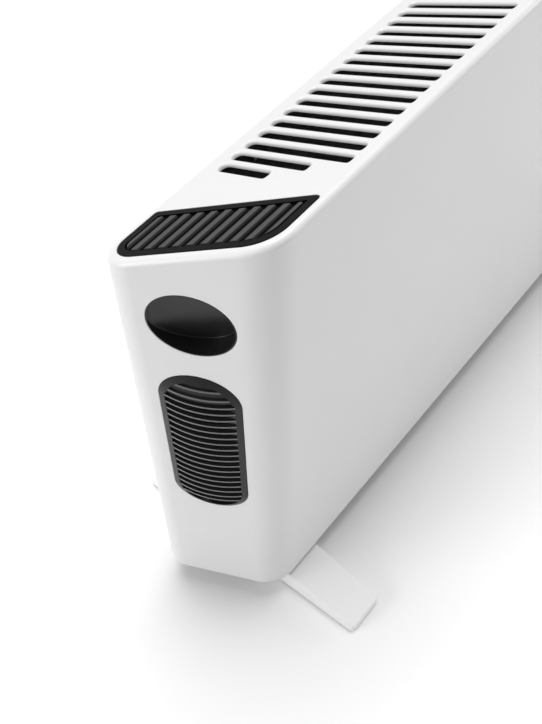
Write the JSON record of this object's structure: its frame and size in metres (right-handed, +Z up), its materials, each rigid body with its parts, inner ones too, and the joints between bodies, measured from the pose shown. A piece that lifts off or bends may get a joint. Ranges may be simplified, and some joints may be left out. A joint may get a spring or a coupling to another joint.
{
  "type": "convector heater",
  "caption": "Free-standing convector heater with slotted sloping top, finger recesses and side air grilles on slanted ends, two low feet, rear cover and top controls.",
  "frame": {"origin": "on the floor, under the middle of the heater's bounding box", "axes": "+X along the heater towards its control end, +Y to the rear, +Z up"},
  "size_m": [0.6668, 0.226, 0.4382],
  "materials": {
    "casing": "satin",
    "rear_cover": "satin",
    "base_tray": "matt",
    "black_trim": "satin",
    "foot_white": "satin",
    "pad_rubber": "matt",
    "screw_steel": "zinc plated",
    "element_metal": "bare",
    "ceramic": "matt",
    "plated_sheet": "galvanised",
    "motor_grey": "matt",
    "fan_plastic": "matt",
    "thermostat_body": "matt",
    "terminal_plastic": "matt"
  },
  "bodies": {
    "heater": {"casing": "casing", "rear_cover": "rear_cover", "base_tray": "base_tray", "left_insert": "black_trim", "control_panel": "black_trim", "left_grip_cup": "black_trim", "right_grip_cup": "black_trim", "left_end_grille": "black_trim", "right_end_grille": "black_trim", "left_foot": "foot_white", "right_foot": "foot_white", "foot_pads": "pad_rubber", "foot_screws": "screw_steel", "cover_screws": "screw_steel", "heating_element": "element_metal", "element_bushes": "ceramic", "element_brackets": "plated_sheet", "heat_shield": "plated_sheet", "thermal_cutout": "motor_grey", "fan_plate": "plated_sheet", "fan_motor": "motor_grey", "thermostat": "thermostat_body", "low_heat_switch": "black_trim", "high_heat_switch": "black_trim", "control_partition": "plated_sheet", "terminal_block": "terminal_plastic", "cord_inlet": "black_trim"},
    "fan": {"fan_impeller": "fan_plastic"},
    "knob": {"thermostat_shaft": "screw_steel", "thermostat_knob": "black_trim"},
    "low_rocker": {"low_heat_rocker": "black_trim"},
    "high_rocker": {"high_heat_rocker": "black_trim"}
  },
  "joints": [
    {"name": "fan_spin", "type": "hinge", "parent": "heater", "child": "fan", "pos_m": [-0.215, 0, 0.2345], "axis": [1, 0, 0], "continuous": true},
    {"name": "thermostat_turn", "type": "hinge", "parent": "heater", "child": "knob", "pos_m": [0.30192, 0.0203, 0.41153], "axis": [0, 0.3843, 0.9232], "range_deg": [-270, 0]},
    {"name": "low_heat_tip", "type": "hinge", "parent": "heater", "child": "low_rocker", "pos_m": [0.2896, -0.00916, 0.41621], "axis": [1, 0, 0], "range_deg": [0, 14]},
    {"name": "high_heat_tip", "type": "hinge", "parent": "heater", "child": "high_rocker", "pos_m": [0.28069, -0.02855, 0.42428], "axis": [1, 0, 0], "range_deg": [0, 14]}
  ]
}
